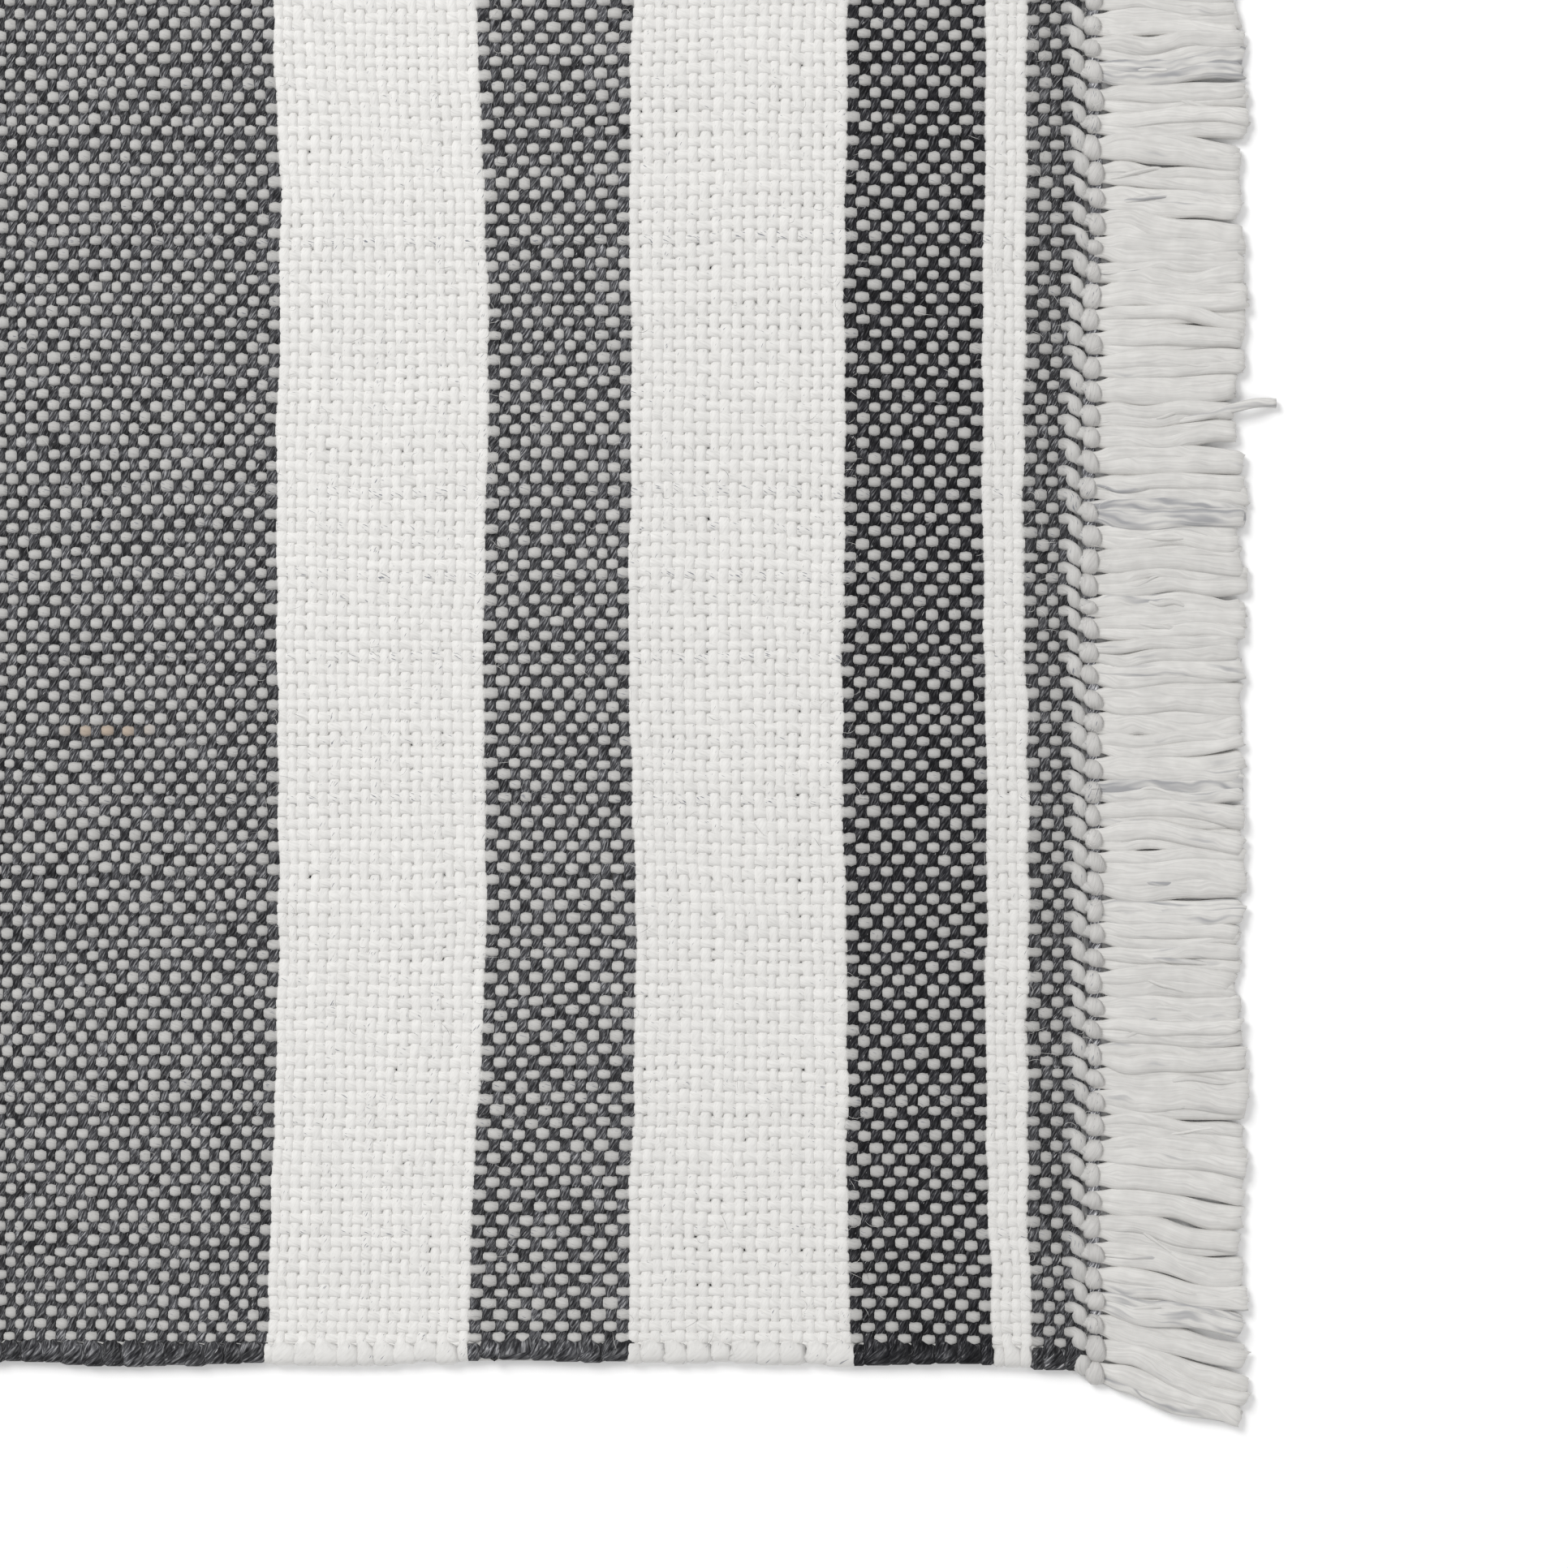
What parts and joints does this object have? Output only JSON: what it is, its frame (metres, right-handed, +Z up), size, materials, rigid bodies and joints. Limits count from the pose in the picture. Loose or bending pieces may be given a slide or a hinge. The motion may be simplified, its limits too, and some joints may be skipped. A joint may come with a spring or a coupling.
{
  "type": "bath mat",
  "caption": "Flat-woven bath mat with grey and white stripes across it and a knotted tassel fringe at each end; folds in half.",
  "frame": {"origin": "on the floor under the middle of the mat", "axes": "+X along the warp, from the left fringe to the right fringe; +Y along the weft, from the front selvedge to the back selvedge; +Z up"},
  "size_m": [0.8, 0.5287, 0.0056],
  "materials": {
    "grey_weft": "plain weave of grey heathered wool weft over light grey warp, matt and slightly fuzzy",
    "charcoal_weft": "plain weave of charcoal wool weft over light grey warp, matt and slightly fuzzy",
    "white_weft": "plain weave of off-white wool weft over off-white warp, matt, with a few grey fibres",
    "selvedge": "weft turned round the outer warps, in the colour of each band",
    "header": "hitched off-white warp ends",
    "fringe": "soft unspun off-white roving with a few grey streaks"
  },
  "bodies": {
    "left_half": {"dark_centre_band_left": "grey_weft", "white_inner_band_left": "white_weft", "dark_middle_band_left": "grey_weft", "white_outer_band_left": "white_weft", "dark_outer_band_left": "charcoal_weft", "white_edge_stripe_left": "white_weft", "dark_edge_stripe_left": "grey_weft", "selvedge_front_left": "selvedge", "selvedge_back_left": "selvedge", "knotted_header_left": "header"},
    "right_half": {"dark_centre_band_right": "grey_weft", "white_inner_band_right": "white_weft", "dark_middle_band_right": "grey_weft", "white_outer_band_right": "white_weft", "dark_outer_band_right": "charcoal_weft", "white_edge_stripe_right": "white_weft", "dark_edge_stripe_right": "grey_weft", "selvedge_front_right": "selvedge", "selvedge_back_right": "selvedge", "knotted_header_right": "header"},
    "fringe_left": {"tassels_left_01": "fringe", "tassels_left_02": "fringe", "tassels_left_03": "fringe", "tassels_left_04": "fringe", "tassels_left_05": "fringe", "tassels_left_06": "fringe", "tassels_left_07": "fringe", "tassels_left_08": "fringe", "tassels_left_09": "fringe", "tassels_left_10": "fringe", "tassels_left_11": "fringe", "tassels_left_12": "fringe", "tassels_left_13": "fringe", "tassels_left_14": "fringe", "tassels_left_15": "fringe", "tassels_left_16": "fringe"},
    "fringe_right": {"tassels_right_01": "fringe", "tassels_right_02": "fringe", "tassels_right_03": "fringe", "tassels_right_04": "fringe", "tassels_right_05": "fringe", "tassels_right_06": "fringe", "tassels_right_07": "fringe", "tassels_right_08": "fringe", "tassels_right_09": "fringe", "tassels_right_10": "fringe", "tassels_right_11": "fringe", "tassels_right_12": "fringe", "tassels_right_13": "fringe", "tassels_right_14": "fringe", "tassels_right_15": "fringe", "tassels_right_16": "fringe"}
  },
  "joints": [
    {"name": "fold_in_half", "type": "hinge", "parent": "left_half", "child": "right_half", "pos_m": [0, 0, 0.0061], "axis": [0, -1, 0], "range_deg": [0, 165]},
    {"name": "fringe_left_lift", "type": "hinge", "parent": "left_half", "child": "fringe_left", "pos_m": [-0.3557, 0, 0.0046], "axis": [0, 1, 0], "range_deg": [0, 75]},
    {"name": "fringe_right_lift", "type": "hinge", "parent": "right_half", "child": "fringe_right", "pos_m": [0.3557, 0, 0.0046], "axis": [0, -1, 0], "range_deg": [0, 75]}
  ]
}
